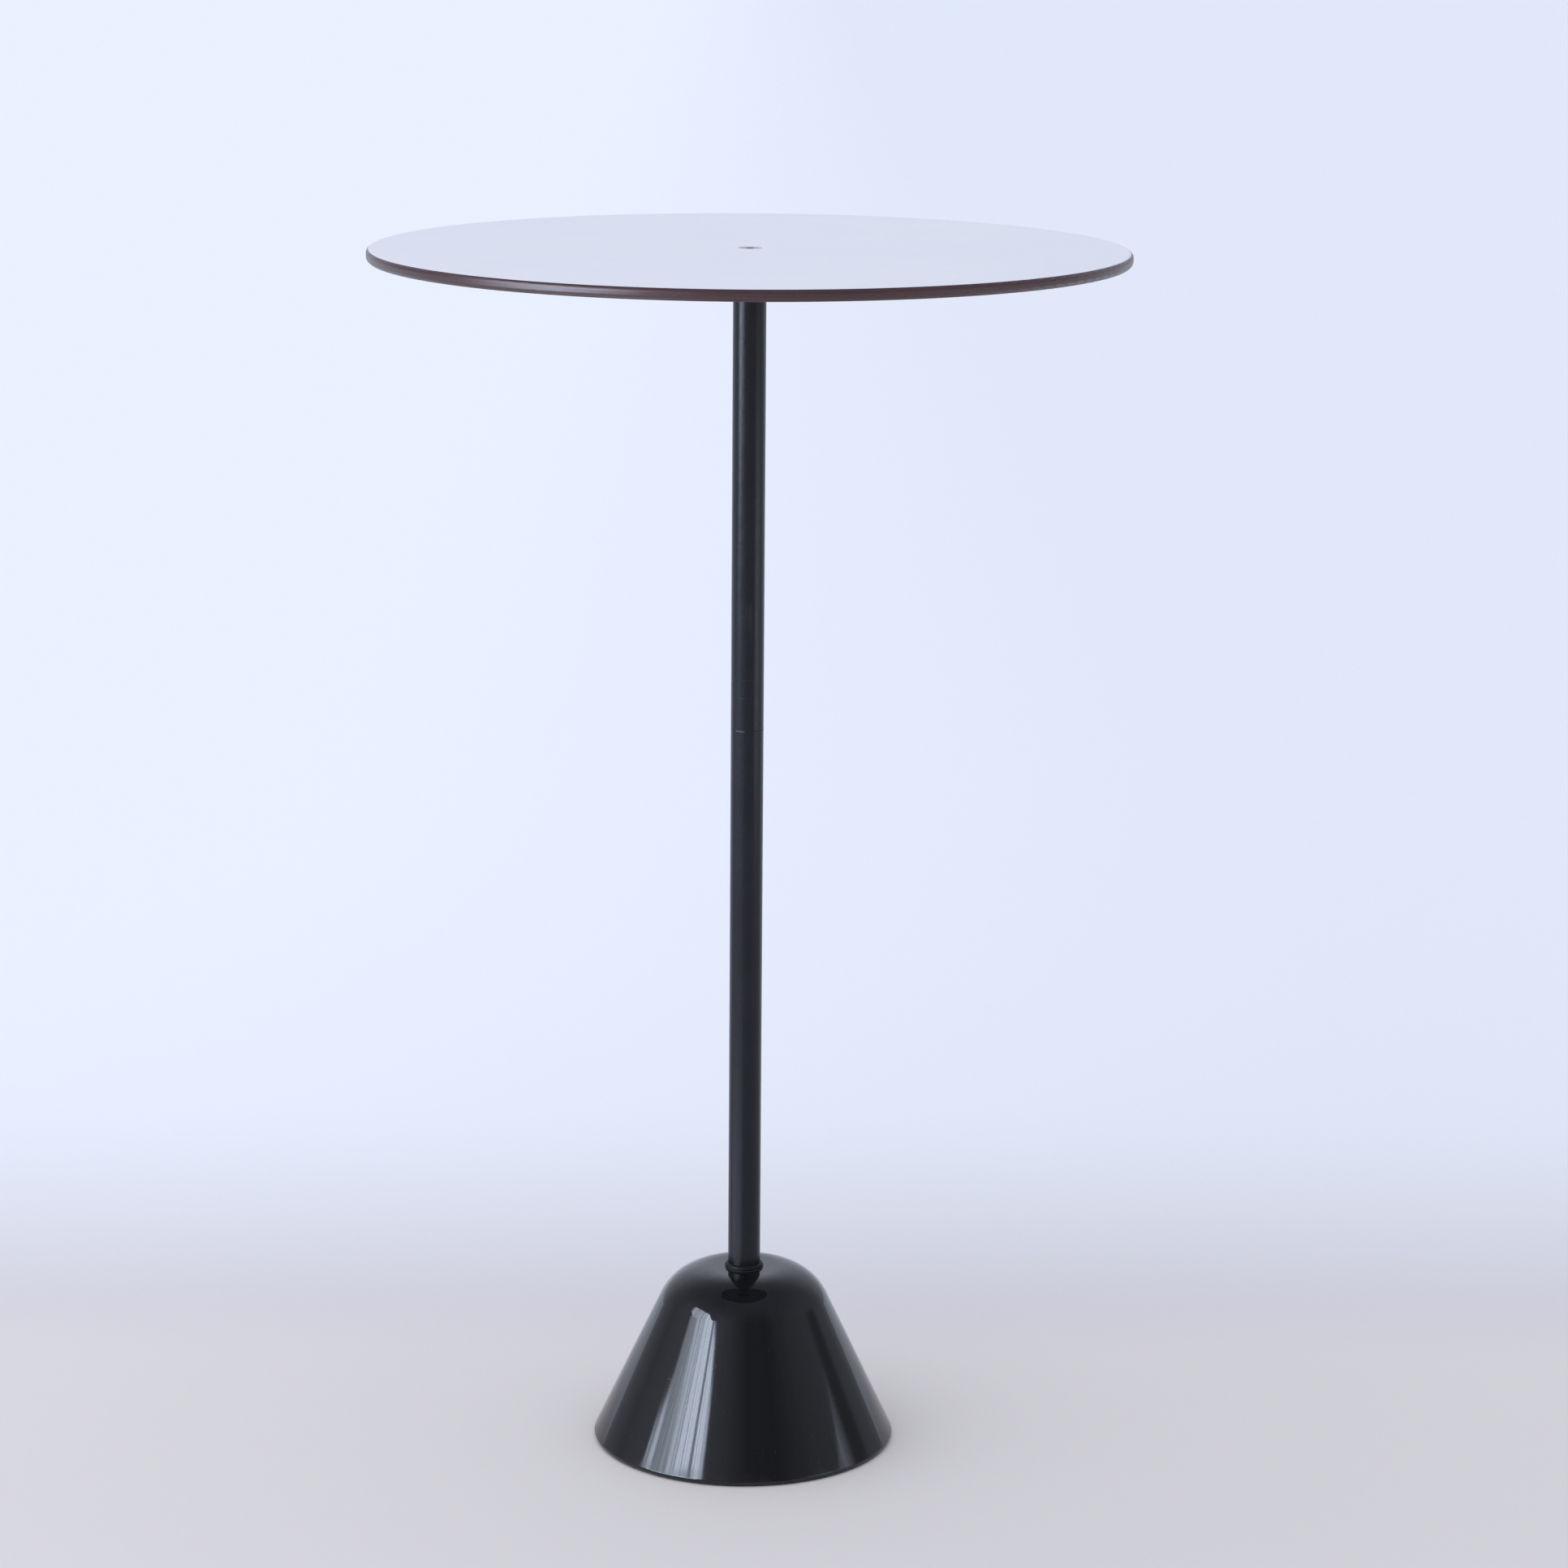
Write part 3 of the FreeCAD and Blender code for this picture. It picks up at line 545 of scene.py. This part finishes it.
def black_board():
    """Black moulded board of the bottom cover, with a fine leather grain and rubbed patches."""
    black = (0.016, 0.016, 0.017, 1)
    rubbed_black = (0.032, 0.032, 0.033, 1)
    grain_black = (0.011, 0.011, 0.011, 1)
    cells_per_metre = 620
    recipe = Recipe("black_board")
    pattern = {"Vector": recipe.place, "Scale": cells_per_metre}
    cells = recipe.add("ShaderNodeTexVoronoi", pattern, feature="SMOOTH_F1")
    grain = recipe.between(cells.outputs["Distance"], low=0.1, high=0.6)
    rubbed = recipe.between(recipe.noise(32, detail=4), low=0.48, high=0.72)
    colour = recipe.mixed(rubbed, black, rubbed_black)
    colour = recipe.tinted(colour, grain, grain_black, share=0.3)
    sheen = recipe.between(grain, low=0, high=1, start=0.46, end=0.58)
    roughness = recipe.roughened(sheen, rubbed, gain=-0.08)
    normal = recipe.bumped(grain, depth=0.00006)
    return recipe.done(colour, roughness, normal)


def cement():
    """Cast cement with sand grains, stains and pores."""
    stained_grey = (0.36, 0.35, 0.33, 1)
    clean_grey = (0.50, 0.49, 0.46, 1)
    sand_grey = (0.27, 0.26, 0.24, 1)
    pore_grey = (0.10, 0.10, 0.09, 1)
    recipe = Recipe("cement")
    stain = recipe.between(recipe.noise(24, detail=5), *NOISE_SPREAD)
    sand = recipe.noise(900, detail=4)
    grains = recipe.between(sand, low=0.45, high=0.7)
    pores = recipe.specks(220, size=0.0011)
    colour = recipe.mixed(stain, stained_grey, clean_grey)
    colour = recipe.tinted(colour, grains, sand_grey, share=0.5)
    colour = recipe.tinted(colour, pores, pore_grey, share=0.8)
    roughness = recipe.between(sand, *NOISE_SPREAD, start=0.82, end=0.95)
    rough_face = recipe.bumped(sand, depth=0.0002)
    normal = recipe.bumped(recipe.calculate("SUBTRACT", 1, pores), depth=0.0006, under=rough_face)
    return recipe.done(colour, roughness, normal)


FINISHES = [
    white_decor,
    phenolic_core,
    grey_backing,
    black_paint,
    black_gloss_plastic,
    black_rubber,
    zinc_steel,
    plain_steel,
    black_board,
    cement,
]


def dress_nodes():
    """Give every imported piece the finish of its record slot."""
    made = {make.__name__: make() for make in FINISHES}
    for row in frame["record"]["subparts"]:
        NODES[row["node"]].material_slots[0].material = made[row["material_slot"]]


# Floor

def floor_material():
    """Matte pale floor, a little bluer further back, with painted shade that darkens it a little on the
    right.
    """
    recipe = Recipe("pale_floor")
    aside, depth, _ = recipe.split(recipe.place)
    to_middle = recipe.between(depth, *FLOOR_NEAR_END)
    to_far = recipe.between(depth, *FLOOR_MIDDLE_END)
    tint = recipe.mixed(to_far, recipe.mixed(to_middle, FLOOR_NEAR, FLOOR_MIDDLE), FLOOR_FAR)
    # Painted shade: the right-hand side is darkened in the floor's colour
    tint = recipe.mixed(recipe.between(aside, *FLOOR_PAINTED_SHADE_SIDE, end=FLOOR_PAINTED_SHADE), tint, BLACK)
    speckle = recipe.between(recipe.noise(900, detail=2), *NOISE_SPREAD)
    colour = recipe.tinted(tint, speckle, FLOOR_NEAR, share=0.05)
    roughness = recipe.between(recipe.noise(40, detail=3), *NOISE_SPREAD, start=0.55, end=0.65)
    normal = recipe.bumped(recipe.noise(700, detail=3), depth=0.00003)
    return recipe.done(colour, roughness, normal, Specular_IOR_Level=0)


def make_floor():
    half = FLOOR_SIZE / 2
    mesh = bpy.data.meshes.new("floor")
    corners = [(-half, -half, 0), (half, -half, 0), (half, half, 0), (-half, half, 0)]
    mesh.from_pydata(corners, [], [(0, 1, 2, 3)])
    floor = bpy.data.objects.new("floor", mesh)
    bpy.context.scene.collection.objects.link(floor)
    mesh.materials.append(floor_material())


# Light

def make_soft_light():
    light = bpy.data.lights.new("soft_light", "SUN")
    light.energy = SOFT_LIGHT_STRENGTH
    light.angle = math.radians(SOFT_LIGHT_SPREAD)
    above = bpy.data.objects.new("soft_light", light)
    above.rotation_euler = (0, math.radians(-SOFT_LIGHT_LEAN), math.radians(SOFT_LIGHT_SIDE))
    above.visible_glossy = False
    bpy.context.scene.collection.objects.link(above)


def panel_place(panel, angle, rise):
    """Place on a panel, from 0 to 1 across and up, that the base sees at an angle aside and an angle up."""
    aside = math.radians(panel["middle"] - angle)
    across = 0.5 + 0.5 * math.tan(aside) / math.tan(math.radians(panel["half_width"]))
    up = math.tan(math.radians(rise)) / math.cos(aside) / math.tan(math.radians(panel["top"]))
    return across, up


def panel_light(name, panel):
    """Rectangle of light whose brightness follows folds and gathers, and ends softly at its two edges."""
    light = bpy.data.lights.new(name, "AREA")
    light.shape = "RECTANGLE"
    light.size = 2 * panel["distance"] * math.tan(math.radians(panel["half_width"]))
    light.size_y = panel["distance"] * math.tan(math.radians(panel["top"]))
    light.energy = math.pi * light.size * light.size_y
    light.color = PANEL_TINT
    light.use_nodes = True
    nodes = Tree(light.node_tree)
    across, up, _ = nodes.split(nodes.add("ShaderNodeNewGeometry").outputs["Parametric"])
    shares, lows, highs = [], [], []
    for angle, share, low, high in sorted(panel["folds"], reverse=True):
        place, low_edge = panel_place(panel, angle, low)
        shares.append((place, share))
        lows.append((place, low_edge))
        highs.append((place, panel_place(panel, angle, high)[1]))
    above_low = nodes.calculate("SUBTRACT", up, nodes.profile(across, lows, "B_SPLINE"))
    below_high = nodes.calculate("SUBTRACT", nodes.profile(across, highs, "B_SPLINE"), up)
    inside = [nodes.between(edge, -PANEL_BLUR, PANEL_BLUR) for edge in (above_low, below_high)]
    cloth = nodes.add("ShaderNodeTexNoise", noise_dimensions="1D")
    nodes.feed(cloth.inputs["W"], nodes.times(across, panel["gathers"]))
    nodes.feed(cloth.inputs["Scale"], 1)
    gathers = nodes.between(cloth.outputs["Fac"], *NOISE_SPREAD, *PANEL_GATHER_RANGE)
    strength = nodes.times(nodes.profile(across, shares), gathers, *inside, panel["brightness"])
    nodes.feed(light.node_tree.nodes["Emission"].inputs["Strength"], strength)
    return light


def make_panel(name, panel):
    light = panel_light(name, panel)
    glow = bpy.data.objects.new(name, light)
    turn = math.radians(panel["middle"])
    outward = Vector((-math.sin(turn), -math.cos(turn), 0))
    glow.location = PANELS_SEEN_FROM + outward * panel["distance"] + Vector((0, 0, light.size_y / 2))
    glow.rotation_euler = outward.to_track_quat("Z", "Y").to_euler()
    glow.visible_camera = False
    glow.visible_diffuse = False
    bpy.context.scene.collection.objects.link(glow)


def make_floor_glow():
    light = bpy.data.lights.new("floor_glow", "AREA")
    light.shape = "RECTANGLE"
    light.size, light.size_y = FLOOR_GLOW_SIZE
    light.energy = math.pi * light.size * light.size_y
    light.color = PANEL_TINT
    light.use_nodes = True
    nodes = Tree(light.node_tree)
    x, y, _ = nodes.split(nodes.add("ShaderNodeNewGeometry").outputs["Position"])
    turn = nodes.calculate("ARCTAN2", nodes.times(x, -1), nodes.times(y, -1))
    sides = [nodes.between(turn, *map(math.radians, angles)) for angles in (FLOOR_GLOW_BEGIN, FLOOR_GLOW_END)]
    distance = nodes.times(nodes.from_axis(x, y), 1 / FLOOR_GLOW_REACH)
    share = nodes.profile(distance, [(far / FLOOR_GLOW_REACH, height) for far, height in FLOOR_GLOW])
    strength = nodes.times(share, *sides, FLOOR_GLOW_BRIGHTNESS)
    nodes.feed(light.node_tree.nodes["Emission"].inputs["Strength"], strength)
    glow = bpy.data.objects.new("floor_glow", light)
    glow.location = FLOOR_GLOW_MIDDLE
    glow.rotation_euler = (math.pi, 0, 0)
    glow.visible_camera = False
    glow.visible_diffuse = False
    bpy.context.scene.collection.objects.link(glow)


def make_studio():
    """Dim pale studio, bright behind the table, that the gloss mirrors."""
    world = bpy.data.worlds.new("studio")
    world.use_nodes = True
    bpy.context.scene.world = world
    nodes = Tree(world.node_tree)
    x, y, z = nodes.split(nodes.add("ShaderNodeTexCoord").outputs["Generated"])
    turn = nodes.calculate("ARCTAN2", x, nodes.times(y, -1))
    turn_share = nodes.calculate("MULTIPLY_ADD", turn, 1 / math.tau, 0.5)
    brightness = nodes.profile(turn_share, [(angle / 360 + 0.5, height) for angle, height in STUDIO])
    sides = [nodes.between(turn, *map(math.radians, angles)) for angles in (DARK_GAP_BEGIN, DARK_GAP_END)]
    below_top = nodes.between(z, *(math.sin(math.radians(angle)) for angle in DARK_GAP_TOP))
    dark_gap = nodes.times(*sides, below_top, DARK_GAP_DARKNESS)
    lit = nodes.times(brightness, nodes.calculate("SUBTRACT", 1, dark_gap))
    around = nodes.mixed(lit, BLACK, STUDIO_TINT)
    low, high = (math.sin(math.radians(angle)) for angle in STUDIO_ABOVE_RISE)
    colour = nodes.mixed(nodes.between(z, low, high), around, STUDIO_ABOVE)
    nodes.feed(world.node_tree.nodes["Background"].inputs["Color"], colour)


# Camera

def make_camera():
    pitch, yaw, roll = (math.radians(angle) for angle in (CAMERA_PITCH_DOWN, CAMERA_YAW, CAMERA_ROLL))
    ahead = Vector((math.sin(yaw) * math.cos(pitch), math.cos(yaw) * math.cos(pitch), -math.sin(pitch)))
    level = Vector((math.cos(yaw), -math.sin(yaw), 0))
    upright = level.cross(ahead)
    across = math.cos(roll) * level + math.sin(roll) * upright
    up = math.cos(roll) * upright - math.sin(roll) * level
    data = bpy.data.cameras.new("camera")
    data.lens = CAMERA_LENS_MM
    data.sensor_width = CAMERA_SENSOR_MM
    camera = bpy.data.objects.new("camera", data)
    turned = Matrix((across, up, -ahead)).transposed().to_4x4()
    camera.matrix_world = Matrix.Translation(CAMERA_PLACE) @ turned
    bpy.context.scene.collection.objects.link(camera)
    bpy.context.scene.camera = camera


dress_nodes()
make_floor()
make_soft_light()
for name, panel in PANELS.items():
    make_panel(name, panel)
make_floor_glow()
make_studio()
make_camera()
bpy.context.scene.view_settings.view_transform = "Standard"
